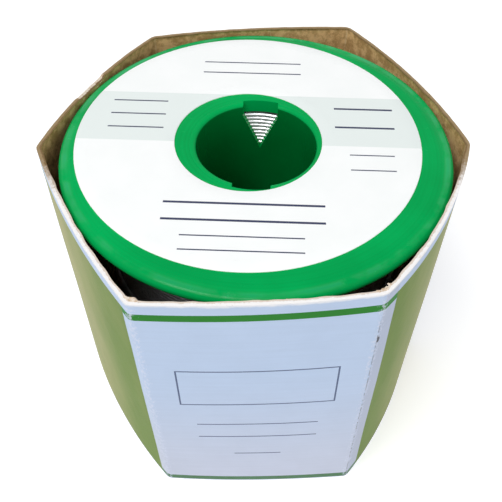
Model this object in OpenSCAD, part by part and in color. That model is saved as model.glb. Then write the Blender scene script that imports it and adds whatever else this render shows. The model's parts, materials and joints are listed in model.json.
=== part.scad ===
// One pound of cored solder wire, level wound on a moulded plastic spool,
// standing in its open six-sided board carton.
// Origin: centre of the carton's base. +Z up along the spool axis, the
// printed front panel faces -Y, two of the carton's creases lie on the X axis.

/* [Solder wire] */
// Diameter of the solder wire
wire_d = 0.8; // [0.6:0.05:1.2]
// Share of its diameter by which each turn advances, pressed on its neighbour
wire_press = 0.98; // [0.94:0.01:0.99]
// Radial depth from the flange's edge down to the full winding
winding_depth = 6.5; // [3:0.5:9]
// Share of the spool's width that the unfinished last layer covers
last_layer_share = 0.62; // [0.3:0.02:0.9]
// Angle of the free outer end's last lap, in degrees
free_end_turn = 285; // [120:5:330]

/* [Spool] */
// Height over both flanges
spool_h = 58.5; // [50:0.5:70]
// Diameter of the flanges
flange_d = 66; // [58:0.5:78]
// Thickness of each flange
flange_t = 2.4; // [1.8:0.1:3.6]
// Drop of the rolled rim below the flange's flat face
rim_step = 0.3; // [0.1:0.05:0.5]
// Width of the rolled rim
rim_w = 1.9; // [1.3:0.1:3]
// Diameter of the spindle bore
bore_d = 20.3; // [14:0.1:24]
// Wall of the hub tube around the bore
hub_wall = 1.15; // [0.8:0.05:1.8]
// Radius of the rounded edge of the bore
bore_edge_r = 0.35; // [0.1:0.05:0.6]
// Width of the two keyways in each end of the hub tube
keyway_w = 6.2; // [3:0.1:8]
// Depth of the pointed window below each keyway
window_h = 7.7; // [4:0.1:12]
// Turn of the spool in its carton, in degrees anticlockwise from above
spool_turn = -6; // [-180:1:180]

/* [Label] */
// Flange face left bare outside the label, on the average
label_margin = 3.85; // [2:0.05:8]
// Flange face left bare between the bore and the label's hole
label_hole_margin = 2.15; // [1:0.05:6]
// Thickness of the label stock
label_t = 0.12; // [0.08:0.01:0.3]
// How far the label is stuck off centre, along X
label_shift_x = -1.35; // [-1.6:0.05:1.6]
// How far the label is stuck off centre, along Y
label_shift_y = 1.1; // [-1.6:0.05:1.6]

/* [Carton] */
// Thickness of the carton board
board_t = 0.6; // [0.4:0.05:1]
// Gap between the flanges and the middle of the bulged panels
carton_fit = 0.3; // [0.2:0.05:1]
// How far the two side creases stand out from the flanges
crease_out = 2.8; // [2.2:0.1:4]
// Outward bulge of the front and the back panel
front_bulge = 0.8; // [0.5:0.05:1.2]
// Height of the rim above the spool's upper face
rim_rise = 0.3; // [0:0.1:6]
// Width of the glued flap inside the back right crease
glue_flap_w = 7; // [4:0.5:9]
// Depth of the dust flaps that are folded in under the spool
dust_flap_depth = 13; // [8:0.5:18]
// Angle that each side of a dust flap is cut back by, in degrees
dust_flap_relief = 6; // [3:1:12]
// Gap around the folded-in flaps
flap_gap = 0.3; // [0.2:0.05:0.8]
// Width of the torn place in the rim
tear_w = 8.2; // [3:0.1:12]
// Depth to which the board's inner ply is torn off there
tear_depth = 0.75; // [0.5:0.05:3]
// Thickness of the torn off ply
torn_ply_t = 0.3; // [0.1:0.05:0.4]
// How far the ply that is left dips below the rim
torn_dip = 0.25; // [0.1:0.05:0.5]
// How far the torn place lies from its panel's middle, towards the side crease
tear_shift = 0.7; // [-6:0.1:6]

/* [Hidden] */

// clearances and cutting allowances
bed = 0.03;          // running gap between wire, hub and flanges
seat_gap = 0.03;     // radial gap of the hub tube in the flanges
past = 1;            // how far a cutter runs past what it cuts
round_fn = 128;      // facets of a previewed large circle
bead_fn = 32;        // facets of a previewed wire end or rim bead
turn_fn = 8;         // sides of each turn's section in a wound layer

// spool
flange_r = flange_d / 2;
bore_r = bore_d / 2;
hub_r = bore_r + hub_wall;
seat_r = hub_r + seat_gap;
floor_z = 2 * board_t;
spool_top = floor_z + spool_h;
wind_bottom = floor_z + flange_t + bed;
wind_top = spool_top - flange_t - bed;
wind_w = wind_top - wind_bottom;

// wire: whole turns that fill the width, each pressed a little on the last
wire_r = wire_d / 2;
turns = floor((wind_w - wire_d) / (wire_press * wire_d)) + 1;
pitch = (wind_w - wire_d) / (turns - 1);
first_r = hub_r + bed + wire_r;
outer_r = flange_r - winding_depth - wire_r;
packed_in_r = first_r + wire_r + bed;
packed_out_r = outer_r - wire_r - bed;
nest_rise = sqrt(pow(wire_d + bed, 2) - pow(pitch / 2, 2));
last_r = outer_r + nest_rise;
last_turns = floor(turns * last_layer_share);

// label
label_r = flange_r - label_margin;
label_hole_r = bore_r + label_hole_margin;

// carton outline: six equal panels, squeezed a little across the side creases
carton_h = spool_top + rim_rise;
clear_r = flange_r + carton_fit + board_t;
side_x = flange_r + crease_out;
front_y = clear_r - front_bulge;
panel_w = (sqrt(4 * side_x * side_x + 3 * front_y * front_y) - side_x) / 1.5;
CREASES = [
    [-panel_w / 2, -front_y], [panel_w / 2, -front_y], [side_x, 0],
    [panel_w / 2, front_y], [-panel_w / 2, front_y], [-side_x, 0]
];
FRONT = 0;
RIGHT_FRONT = 1;
RIGHT_BACK = 2;
BACK = 3;
LEFT_BACK = 4;
LEFT_FRONT = 5;
reach = 2 * flange_d;

// torn place: its edge, as shares of half its width and of its depth
TORN_EDGE = [
    [-1, 0.5], [-0.85, 0.85], [-0.2, 1], [0.4, 0.95], [0.8, 0.75], [0.93, 0.4], [1, 0]
];

function crease(i) = CREASES[(i + 6) % 6];
function panel_mid(i) = (crease(i) + crease(i + 1)) / 2;
function panel_run(i) = (crease(i + 1) - crease(i)) / panel_w;
function panel_face(i) = [panel_run(i)[1], -panel_run(i)[0]];
function panel_distance(i) = crease(i) * panel_face(i);
// the foot of the perpendicular from the axis lies this far off the middle
function panel_skew(i) = -panel_mid(i) * panel_run(i);
// bulge that clears the flanges, with the little that the skew takes away
function panel_bulge(i) =
    clear_r - panel_distance(i) + pow(panel_skew(i), 2) / (2 * clear_r);
function panel_arc_r(i) =
    (pow(panel_w / 2, 2) + pow(panel_bulge(i), 2)) / (2 * panel_bulge(i));
function panel_arc_mid(i) =
    panel_mid(i) + panel_face(i) * (panel_bulge(i) - panel_arc_r(i));

// ---------------------------------------------------------------- carton

// everything inside one panel's bulged outer face, moved in by inset
module panel_side(i, inset) {
    translate(panel_arc_mid(i))
        circle(r = panel_arc_r(i) - inset, $fn = 2 * round_fn);
}

// the slice of the plan between a panel's two creases
module panel_sector(i, relief = 0) {
    start = crease(i) * reach / panel_w;
    end = crease(i + 1) * reach / panel_w;
    rotate(relief)
        intersection() {
            polygon([[0, 0], start, end]);
            rotate(-2 * relief)
                polygon([[0, 0], start, end]);
        }
}

// the carton's plan, moved in by inset from its outer face
module carton_plan(inset) {
    intersection() {
        panel_side(FRONT, inset);
        panel_side(RIGHT_FRONT, inset);
        panel_side(RIGHT_BACK, inset);
        panel_side(BACK, inset);
        panel_side(LEFT_BACK, inset);
        panel_side(LEFT_FRONT, inset);
    }
}

// one wall: a bulged strip of board, mitred at its two creases
module panel(i) {
    linear_extrude(carton_h)
        intersection() {
            difference() {
                panel_side(i, 0);
                panel_side(i, board_t);
            }
            panel_sector(i);
        }
}

module front_panel() {
    color("aliceblue") panel(FRONT);
}

module right_front_panel() {
    color("darkseagreen") panel(RIGHT_FRONT);
}

module right_back_panel() {
    color("aliceblue") panel(RIGHT_BACK);
}

module back_panel() {
    color("darkseagreen") panel(BACK);
}

// what a ragged tear of some depth takes out of the left back panel's rim
module torn_place(depth) {
    middle = panel_mid(LEFT_BACK) + panel_run(LEFT_BACK) * tear_shift;
    half = tear_w / 2;
    edge = [for (point = TORN_EDGE) [point[0] * half, -point[1] * depth]];
    translate([middle[0], middle[1], carton_h])
        rotate(atan2(panel_run(LEFT_BACK)[1], panel_run(LEFT_BACK)[0]))
            rotate([90, 0, 0])
                linear_extrude(2 * (panel_bulge(LEFT_BACK) + board_t + past), center = true)
                    polygon(concat([[-half, past]], edge, [[half, past]]));
}

// the torn panel: its inner ply is gone there, and what is left dips a little
module left_back_panel() {
    color("aliceblue")
        difference() {
            panel(LEFT_BACK);
            torn_place(torn_dip);
            intersection() {
                torn_place(tear_depth);
                linear_extrude(carton_h + past)
                    panel_side(LEFT_BACK, board_t - torn_ply_t);
            }
        }
}

module left_front_panel() {
    color("darkseagreen") panel(LEFT_FRONT);
}

// the back panel's end, lapped inside the right back panel and glued there
module glue_flap() {
    run = panel_run(RIGHT_BACK);
    crease_at = crease(RIGHT_BACK + 1) - panel_face(RIGHT_BACK) * board_t;
    color("tan")
        translate([0, 0, floor_z + flap_gap])
            linear_extrude(carton_h - floor_z - 2 * flap_gap)
                intersection() {
                    difference() {
                        panel_side(RIGHT_BACK, board_t);
                        panel_side(RIGHT_BACK, 2 * board_t);
                    }
                    carton_plan(board_t);
                    translate(crease_at)
                        rotate(atan2(run[1], run[0]))
                            translate([-glue_flap_w, -past - 2 * board_t])
                                square([glue_flap_w, 2 * past + 4 * board_t]);
                }
}

// the closing flap: hinged on the back panel, flush with the base
module base_flap() {
    color("tan")
        linear_extrude(board_t) {
            carton_plan(board_t + flap_gap);
            intersection() {
                carton_plan(board_t);
                translate([flap_gap - panel_w / 2 + board_t, 0])
                    square([panel_w - 2 * flap_gap - 2 * board_t, clear_r]);
            }
        }
}

// a short flap folded in over the closing flap from one panel's lower edge
module dust_flap(i) {
    color("tan")
        translate([0, 0, board_t])
            linear_extrude(board_t)
                difference() {
                    intersection() {
                        carton_plan(board_t);
                        panel_sector(i, dust_flap_relief);
                    }
                    panel_side(i, board_t + dust_flap_depth);
                }
}

module front_dust_flap() {
    dust_flap(FRONT);
}

module right_front_dust_flap() {
    dust_flap(RIGHT_FRONT);
}

module right_back_dust_flap() {
    dust_flap(RIGHT_BACK);
}

module left_back_dust_flap() {
    dust_flap(LEFT_BACK);
}

module left_front_dust_flap() {
    dust_flap(LEFT_FRONT);
}

// ----------------------------------------------------------------- spool

// half section of a flange, inner face on the X axis, outer face up
module flange_section() {
    face_r = flange_r - rim_w;
    bead_r = (flange_t - rim_step) / 2;
    translate([seat_r, 0])
        square([face_r - seat_r, flange_t]);
    translate([face_r - past, 0])
        square([rim_w + past - bead_r, 2 * bead_r]);
    translate([flange_r - bead_r, bead_r])
        circle(r = bead_r, $fn = 2 * bead_fn);
}

module flange() {
    rotate_extrude($fn = round_fn) flange_section();
}

module upper_flange() {
    color("mediumseagreen")
        translate([0, 0, spool_top - flange_t])
            flange();
}

module lower_flange() {
    color("mediumseagreen")
        translate([0, 0, floor_z + flange_t])
            mirror([0, 0, 1])
                flange();
}

// half section of the hub tube, with the bore's edge rounded at both ends
module hub_section() {
    translate([bore_r + bore_edge_r, 0])
        square([hub_wall - bore_edge_r, spool_h]);
    translate([bore_r, bore_edge_r])
        square([2 * bore_edge_r, spool_h - 2 * bore_edge_r]);
    for (edge_z = [bore_edge_r, spool_h - bore_edge_r])
        translate([bore_r + bore_edge_r, edge_z])
            circle(r = bore_edge_r, $fn = bead_fn);
}

// outline of a keyway and its pointed window, measured down from a hub end
module window_outline() {
    half = keyway_w / 2;
    polygon([
        [-half, past], [half, past], [half, -flange_t],
        [0, -flange_t - window_h], [-half, -flange_t]
    ]);
}

// a keyway with its window on each side of one hub end
module window_cutter() {
    rotate([90, 0, spool_turn])
        linear_extrude(2 * hub_r + 2 * past, center = true)
            window_outline();
}

// the hub tube: it passes through both flanges and ends flush with their faces
module hub_tube() {
    color("seagreen")
        translate([0, 0, floor_z])
            difference() {
                rotate_extrude($fn = round_fn) hub_section();
                translate([0, 0, spool_h])
                    window_cutter();
                mirror([0, 0, 1])
                    window_cutter();
            }
}

module face_label() {
    color("white")
        translate([label_shift_x, label_shift_y, spool_top])
            difference() {
                cylinder(r = label_r, h = label_t, $fn = round_fn);
                translate([0, 0, -past])
                    cylinder(r = label_hole_r, h = label_t + 2 * past, $fn = round_fn);
            }
}

// ---------------------------------------------------------------- solder

// side by side turns about the axis, centred on radius r; the face that lies
// on other wire, outside (backing 1) or inside (backing -1), is left plain
module wire_turns(r, count, start, backing = 0) {
    rotate_extrude($fn = round_fn)
        union() {
            for (i = [0 : count - 1])
                translate([r, start + i * pitch])
                    circle(r = wire_r, $fn = turn_fn);
            if (backing != 0)
                translate([min(r, r + backing * wire_r), start - wire_r])
                    square([wire_r, (count - 1) * pitch + wire_d]);
        }
}

module first_wire_layer() {
    color("silver")
        wire_turns(first_r, turns, wind_bottom + wire_r, 1);
}

// the layers between the first and the outermost one, hidden inside
module packed_wire_layers() {
    color("silver")
        translate([0, 0, wind_bottom])
            difference() {
                cylinder(r = packed_out_r, h = wind_w, $fn = round_fn);
                translate([0, 0, -past])
                    cylinder(r = packed_in_r, h = wind_w + 2 * past, $fn = round_fn);
            }
}

module outer_wire_layer() {
    color("silver")
        wire_turns(outer_r, turns, wind_bottom + wire_r, -1);
}

// the unfinished last layer, lying in the valleys of the one below it
module last_wire_turns() {
    color("silver")
        wire_turns(last_r, last_turns, wind_bottom + wire_r + pitch / 2);
}

// the free outer end: its last lap lies one valley on from the last turn
module free_wire_end() {
    end_z = wind_bottom + wire_r + pitch / 2 + last_turns * pitch + bed;
    color("silver")
        translate([0, 0, end_z])
            rotate_extrude(angle = free_end_turn, $fn = round_fn)
                translate([last_r + bed, 0])
                    circle(r = wire_r, $fn = bead_fn);
}

front_panel();
right_front_panel();
right_back_panel();
back_panel();
left_back_panel();
left_front_panel();
glue_flap();
base_flap();
front_dust_flap();
right_front_dust_flap();
right_back_dust_flap();
left_back_dust_flap();
left_front_dust_flap();
lower_flange();
hub_tube();
upper_flange();
face_label();
first_wire_layer();
packed_wire_layers();
outer_wire_layer();
last_wire_turns();
free_wire_end();
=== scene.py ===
"""Looks of a spool of solder wire that stands in its open six-sided board carton."""

import json
import logging
import math
import random
from dataclasses import dataclass
from enum import Enum
from typing import Callable, Iterable, Optional, Sequence

import bmesh
import bpy
from mathutils import Matrix, Vector, noise


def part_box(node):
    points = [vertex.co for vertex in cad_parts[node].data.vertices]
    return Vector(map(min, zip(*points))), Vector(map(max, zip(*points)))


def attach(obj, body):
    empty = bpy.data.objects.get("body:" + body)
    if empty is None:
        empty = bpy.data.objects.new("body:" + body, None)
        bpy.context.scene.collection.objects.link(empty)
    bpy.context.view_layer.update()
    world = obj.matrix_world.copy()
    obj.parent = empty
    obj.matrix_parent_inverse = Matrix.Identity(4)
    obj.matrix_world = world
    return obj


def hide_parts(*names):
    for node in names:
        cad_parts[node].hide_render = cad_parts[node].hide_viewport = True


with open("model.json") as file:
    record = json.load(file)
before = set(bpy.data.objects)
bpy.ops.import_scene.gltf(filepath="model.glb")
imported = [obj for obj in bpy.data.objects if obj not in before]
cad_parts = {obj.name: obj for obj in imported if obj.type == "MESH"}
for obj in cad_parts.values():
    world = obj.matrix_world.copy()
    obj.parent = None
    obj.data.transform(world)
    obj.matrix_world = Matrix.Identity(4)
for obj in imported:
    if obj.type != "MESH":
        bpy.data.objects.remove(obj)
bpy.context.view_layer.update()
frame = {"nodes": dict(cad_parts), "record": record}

LOG = logging.getLogger("solder_spool")
MM = 0.001
FULL_TURN = 2 * math.pi
Colour = tuple[float, float, float, float]
Point2 = tuple[float, float]


class Body(Enum):
    """The two bodies that the object's pieces ride on."""

    CARTON = "carton"
    SPOOL = "spool"


class Slot(Enum):
    """The record's material slots."""

    WHITE_BOARD = "printed_white_board"
    GREEN_BOARD = "printed_green_board"
    KRAFT = "kraft_board"
    PLASTIC = "green_moulded_plastic"
    LABEL = "label_paper"
    SOLDER = "solder_wire"


class Wall(Enum):
    """The carton's walls, anticlockwise from the front, seen from above."""

    FRONT = 0
    RIGHT_FRONT = 1
    RIGHT_BACK = 2
    BACK = 3
    LEFT_BACK = 4
    LEFT_FRONT = 5


WALL_NODES = {
    Wall.FRONT: "front_panel",
    Wall.RIGHT_FRONT: "right_front_panel",
    Wall.RIGHT_BACK: "right_back_panel",
    Wall.BACK: "back_panel",
    Wall.LEFT_BACK: "left_back_panel",
    Wall.LEFT_FRONT: "left_front_panel",
}


def screen(red: int, green: int, blue: int) -> Colour:
    """Turns a colour as a screen shows it into the linear one that a shader takes.

    Args:
        red: Red from 0 to 255.
        green: Green from 0 to 255.
        blue: Blue from 0 to 255.

    Returns:
        The linear colour with full alpha.
    """

    def linear(level: int) -> float:
        """Undoes the screen's transfer curve for one channel."""
        part = level / 255
        return part / 12.92 if part <= 0.04045 else ((part + 0.055) / 1.055) ** 2.4

    return linear(red), linear(green), linear(blue), 1.0


# --------------------------------------------------------------------- materials


class Shader:
    """A material under construction, with short calls for its nodes."""

    def __init__(self, name: str) -> None:
        """Starts a material with a Principled shader and an output.

        Args:
            name: Name of the material.
        """
        self.material = bpy.data.materials.new(name)
        self.material.use_nodes = True
        self.tree = self.material.node_tree
        self.tree.nodes.clear()
        self.output = self.add("ShaderNodeOutputMaterial")
        self.surface = self.add("ShaderNodeBsdfPrincipled")
        self.link(self.surface.outputs["BSDF"], self.output.inputs["Surface"])
        self.places = self.add("ShaderNodeTexCoord")

    def add(self, kind: str, **settings: object) -> bpy.types.Node:
        """Adds a node and sets its properties.

        Args:
            kind: The node's type name.
            **settings: Properties of the node.

        Returns:
            The new node.
        """
        node = self.tree.nodes.new(kind)
        for key, value in settings.items():
            setattr(node, key, value)
        return node

    def link(self, source: bpy.types.NodeSocket, target: bpy.types.NodeSocket) -> None:
        """Joins an output to an input."""
        self.tree.links.new(source, target)

    def feed(self, target: bpy.types.NodeSocket, value: object) -> None:
        """Links a socket to an input, or sets the input when given a plain value."""
        if isinstance(value, bpy.types.NodeSocket):
            self.link(value, target)
        else:
            target.default_value = value

    def math(
        self, operation: str, first: object, second: object = 0.0, clamp: bool = False
    ) -> bpy.types.NodeSocket:
        """Adds a Math node.

        Args:
            operation: Name of the operation.
            first: Socket or number.
            second: Socket or number.
            clamp: Whether the result stays between 0 and 1.

        Returns:
            The result.
        """
        node = self.add("ShaderNodeMath", operation=operation, use_clamp=clamp)
        self.feed(node.inputs[0], first)
        self.feed(node.inputs[1], second)
        return node.outputs[0]

    def between(self, value: object, low: float, high: float) -> bpy.types.NodeSocket:
        """Gives 1 where a value lies between two limits, and 0 elsewhere."""
        above = self.math("GREATER_THAN", value, low)
        return self.math("MULTIPLY", above, self.math("LESS_THAN", value, high))

    def smooth(self, value: object, start: float, end: float) -> bpy.types.NodeSocket:
        """Gives a smooth step from 0 at start to 1 at end."""
        node = self.add("ShaderNodeMapRange", interpolation_type="SMOOTHSTEP")
        self.feed(node.inputs["Value"], value)
        node.inputs["From Min"].default_value = start
        node.inputs["From Max"].default_value = end
        return node.outputs["Result"]

    def scaled(
        self,
        stretch: Sequence[float],
        shift: Sequence[float] = (0, 0, 0),
        turn: float = 0.0,
        source: str = "Object",
    ) -> bpy.types.NodeSocket:
        """Maps the surface's coordinates.

        Args:
            stretch: Scale along each axis.
            shift: Place that becomes the pattern's origin, in metres.
            turn: Turn of the pattern about Z, in radians.
            source: Name of the coordinate output.

        Returns:
            The mapped coordinates.
        """
        centred = self.add("ShaderNodeVectorMath", operation="SUBTRACT")
        self.link(self.places.outputs[source], centred.inputs[0])
        centred.inputs[1].default_value = tuple(shift)
        mapping = self.add("ShaderNodeMapping")
        self.link(centred.outputs[0], mapping.inputs["Vector"])
        mapping.inputs["Scale"].default_value = tuple(stretch)
        mapping.inputs["Rotation"].default_value = (0, 0, turn)
        return mapping.outputs[0]

    def noise(
        self, place: object, scale: float, detail: float = 3.0, rough: float = 0.55
    ) -> bpy.types.NodeSocket:
        """Adds a noise pattern and gives its value."""
        node = self.add("ShaderNodeTexNoise")
        self.feed(node.inputs["Vector"], place)
        node.inputs["Scale"].default_value = scale
        node.inputs["Detail"].default_value = detail
        node.inputs["Roughness"].default_value = rough
        return node.outputs["Fac"]

    def mix(self, part: object, first: object, second: object) -> bpy.types.NodeSocket:
        """Mixes two colours.

        Args:
            part: Share of the second colour.
            first: Colour or socket.
            second: Colour or socket.

        Returns:
            The mixed colour.
        """
        node = self.add("ShaderNodeMix", data_type="RGBA")
        self.feed(node.inputs[0], part)
        self.feed(node.inputs[6], first)
        self.feed(node.inputs[7], second)
        return node.outputs[2]

    def bump(
        self, height: object, depth: float, strength: float = 1.0, under: object = None
    ) -> bpy.types.NodeSocket:
        """Turns a height into a bumped normal.

        Args:
            height: Height pattern.
            depth: Depth of the pattern in metres.
            strength: Share of the bump that shows.
            under: Normal of an earlier bump, if there is one.

        Returns:
            The normal.
        """
        node = self.add("ShaderNodeBump")
        node.inputs["Distance"].default_value = depth
        node.inputs["Strength"].default_value = strength
        self.feed(node.inputs["Height"], height)
        if under is not None:
            self.feed(node.inputs["Normal"], under)
        return node.outputs[0]

    def set(self, **values: object) -> "Shader":
        """Sets the Principled shader's sockets.

        Args:
            **values: Sockets by name, with underscores for spaces.

        Returns:
            The shader itself.
        """
        for key, value in values.items():
            self.feed(self.surface.inputs[key.replace("_", " ")], value)
        return self


@dataclass(frozen=True)
class CartonPlan:
    """Plan of the carton: where its creases stand and how far its walls bulge.

    The creases are numbered anticlockwise from the front left one, and each leans a
    little, because the carton has been handled: foot_shift and rim_shift are how far
    its two ends stand from the regular plan.
    """

    wall_w: float
    front_y: float
    side_x: float
    clear_r: float
    board_t: float
    height: float
    foot_shift: tuple[Point2, ...] = (
        (0.8, 0.0), (-0.7, -0.4), (0.0, 0.0), (0.0, 0.0), (0.0, 0.0), (-0.8, -0.5),
    )
    rim_shift: tuple[Point2, ...] = (
        (-0.2, -0.5), (-1.2, 0.6), (0.2, -1.1), (0.8, 1.2), (-0.8, -1.7), (-0.9, -1.0),
    )

    @classmethod
    def from_frame(cls) -> "CartonPlan":
        """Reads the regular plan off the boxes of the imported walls."""
        front_low, front_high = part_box("front_panel")
        side_low, side_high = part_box("right_front_panel")
        flap_low, flap_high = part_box("base_flap")
        return cls(
            wall_w=front_high[0] - front_low[0],
            front_y=-side_low[1],
            side_x=side_high[0],
            clear_r=-front_low[1],
            board_t=flap_high[2] - flap_low[2],
            height=side_high[2],
        )

    def crease(self, index: int) -> Vector:
        """Gives a crease of the regular plan; wall i runs from it to crease i + 1."""
        half = self.wall_w / 2
        places = (
            (-half, -self.front_y), (half, -self.front_y), (self.side_x, 0),
            (half, self.front_y), (-half, self.front_y), (-self.side_x, 0),
        )
        return Vector(places[index % 6])

    def leaning(self, index: int, height: float) -> Vector:
        """Gives the place of a crease of the handled carton at a height."""
        foot, rim = self.foot_shift[index % 6], self.rim_shift[index % 6]
        return self.crease(index) + Vector(foot).lerp(Vector(rim), height / self.height) * MM

    def place(self, wall: Wall, along: float, height: Optional[float] = None,
              inset: float = 0.0) -> Vector:
        """Gives a point of a wall's plan.

        Args:
            wall: The wall.
            along: Distance from the wall's middle.
            height: Height on the handled carton; without it, the plan is the regular one.
            inset: Distance inwards from the outer face.

        Returns:
            The point in plan.
        """
        if height is None:
            start, end = self.crease(wall.value), self.crease(wall.value + 1)
        else:
            start = self.leaning(wall.value, height)
            end = self.leaning(wall.value + 1, height)
        chord = (end - start).length
        run = (end - start) / chord
        face = Vector((run.y, -run.x))
        middle = (start + end) / 2
        skew = middle.dot(run)
        bulge = self.clear_r - start.dot(face) + skew * skew / (2 * self.clear_r)
        radius = ((chord / 2) ** 2 + bulge * bulge) / (2 * bulge)
        there = along / self.wall_w * chord
        out = math.sqrt(radius * radius - there * there) - (radius - bulge)
        return middle + run * there + face * (out - inset)

    def along(
        self, wall: Wall, x: float, y: float, height: Optional[float] = None
    ) -> float:
        """Gives how far a point of the plan lies from a wall's middle.

        Args:
            wall: The wall.
            x: X of the point.
            y: Y of the point.
            height: Height on the handled carton; without it, the plan is the regular one.

        Returns:
            The distance along the wall, as measured on the flat board.
        """
        if height is None:
            start, end = self.crease(wall.value), self.crease(wall.value + 1)
        else:
            start = self.leaning(wall.value, height)
            end = self.leaning(wall.value + 1, height)
        run = end - start
        chord = run.length
        return (Vector((x, y)) - (start + end) / 2).dot(run) / chord * self.wall_w / chord

    def nearest_wall(self, x: float, y: float) -> Wall:
        """Tells which wall's sector a point of the plan lies in."""
        for wall in Wall:
            start, end = self.crease(wall.value), self.crease(wall.value + 1)
            if start.x * y - start.y * x >= 0 > end.x * y - end.y * x:
                return wall
        return Wall.FRONT


@dataclass(frozen=True)
class PrintedBoard:
    """The carton's printed outside: pale walls with green rules beside sage ones, and painted
    light and shade.

    All sizes but the wall's are in millimetres, as the piece's UV map is.
    """

    wall_w: float
    height: float
    pale: Colour = screen(196, 214, 241)
    # painted light: the pale print turns towards this colour from three quarters of the height
    # down to the foot
    pale_painted_light_low: Colour = screen(207, 213, 231)
    # painted shade: the pale print just past the front right fold is greyed towards this colour
    strip: Colour = screen(190, 198, 219)
    sage: Colour = screen(110, 136, 54)
    # paler sage: painted light away from the front walls, plus random mottle
    sage_painted_light_mottled: Colour = screen(166, 166, 108)
    rule: Colour = screen(48, 131, 48)
    rule_low: Colour = screen(86, 128, 92)
    worn: Colour = screen(222, 228, 247)
    rubbed: Colour = screen(250, 249, 250)
    creased: Colour = screen(104, 106, 114)
    ink: Colour = screen(62, 74, 112)
    border_w: float = 2.35
    foot_border_w: float = 0.3
    rub_w: float = 0.75
    rule_w: float = 1.55
    overlap_left: float = 1.9
    overlap_right: float = 3.2
    wear_w: float = 1.9
    crease_line_w: float = 0.16
    nick: Point2 = (0.25, 48.7)
    nick_r: Point2 = (0.28, 0.75)
    field_w: float = 27.0
    field_low: float = 31.5
    field_high: float = 42.5
    line_w: float = 0.3
    lines: tuple[tuple[float, float], ...] = ((22.0, 24.4), (22.0, 19.6), (9.0, 12.6))

    def build(self) -> bpy.types.Material:
        """Makes the material; its UV map runs along and up the walls."""
        shader = Shader("printed_board")
        split = shader.add("ShaderNodeSeparateXYZ")
        shader.link(shader.places.outputs["UV"], split.inputs[0])
        along, up = split.outputs["X"], split.outputs["Y"]
        colour = self.print_colour(shader, along, up)

        streak = shader.noise(shader.scaled((0.05, 1.3, 1), source="UV"), 1.0, 3, 0.6)
        blotch = shader.noise(shader.scaled((1, 0.8, 1), source="UV"), 0.16, 3, 0.5)
        tone = shader.math("MULTIPLY", shader.math("ADD", streak, blotch), 0.09)
        shade = shader.add("ShaderNodeHueSaturation")
        shader.link(colour, shade.inputs["Color"])
        shader.link(shader.math("ADD", tone, 0.91), shade.inputs["Value"])
        colour, worn = self.wear(shader, shade.outputs[0], along, up)

        fibre = shader.noise(shader.scaled((1, 1, 1), source="UV"), 9.0, 4, 0.65)
        grain = shader.noise(shader.scaled((1, 1, 1), source="UV"), 0.35, 4, 0.6)
        normal = shader.bump(fibre, 0.00002, 0.35)
        normal = shader.bump(grain, 0.00012, 0.5, normal)
        normal = shader.bump(streak, 0.00004, 0.5, normal)
        rough = shader.math("ADD", shader.math("MULTIPLY", fibre, 0.18), 0.38)
        rough = shader.math("ADD", rough, shader.math("MULTIPLY", worn, 0.3))
        shader.set(Base_Color=colour, Roughness=rough, Normal=normal)
        shader.set(Specular_IOR_Level=0.07)
        return shader.material

    def print_colour(
        self, shader: Shader, along: bpy.types.NodeSocket, up: bpy.types.NodeSocket
    ) -> bpy.types.NodeSocket:
        """Lays out the pale walls, the sage boxes, the rules and the blank field, with painted
        light and shade.
        """
        wall_mm, height_mm = self.wall_w / MM, self.height / MM
        shift = (self.overlap_right - self.overlap_left) / 2
        overlap = (self.overlap_right + self.overlap_left) / 2
        wander = shader.noise(shader.scaled((0.3, 1, 1), source="UV"), 0.4, 3, 0.5)
        wander = shader.math("MULTIPLY", shader.math("SUBTRACT", wander, 0.5), 0.14)
        from_pale = shader.math("PINGPONG", shader.math("SUBTRACT", along, shift), wall_mm)
        from_pale = shader.math("ADD", from_pale, wander)
        on_pale = shader.math("LESS_THAN", from_pale, wall_mm / 2 + overlap)
        on_sage = shader.math("SUBTRACT", 1.0, on_pale)

        low, high = self.foot_border_w, height_mm - self.border_w
        inside = shader.between(up, low, high)
        rule_low = shader.between(up, low, low + self.rule_w)
        rule_high = shader.between(up, high - self.rule_w, high)
        on_rule = shader.math("MULTIPLY", shader.math("ADD", rule_low, rule_high), on_pale)
        rule = shader.mix(rule_low, self.rule, self.rule_low)

        # painted light: the pale print changes colour from three quarters of the height down to
        # the foot
        pale = shader.mix(shader.smooth(up, height_mm * 0.75, 0.0), self.pale, self.pale_painted_light_low)
        # painted shade: the pale print just past the front right fold is greyed three quarters
        # of the way to strip
        on_painted_shade_strip = shader.between(along, wall_mm / 2 + self.crease_line_w,
                                  wall_mm / 2 + self.overlap_right)
        pale = shader.mix(shader.math("MULTIPLY", on_painted_shade_strip, 0.75), pale, self.strip)
        # painted light: the sage turns paler away from the front walls, mixed with random
        # mottle
        aside = shader.math("PINGPONG", along, 3 * wall_mm)
        mottle = shader.noise(shader.scaled((1, 0.4, 1), source="UV"), 0.11, 3, 0.5)
        painted_light_and_mottle = shader.math("ADD", shader.smooth(aside, wall_mm * 0.55, wall_mm * 1.3),
                            shader.math("MULTIPLY", shader.math("SUBTRACT", mottle, 0.5), 0.9),
                            clamp=True)
        sage = shader.mix(painted_light_and_mottle, self.sage, self.sage_painted_light_mottled)
        colour = shader.mix(shader.math("MULTIPLY", on_sage, inside), pale, sage)
        colour = shader.mix(on_rule, colour, rule)
        ink = shader.math("MULTIPLY", self.blank_field(shader, along, up), 0.85)
        return shader.mix(ink, colour, self.ink)

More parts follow.
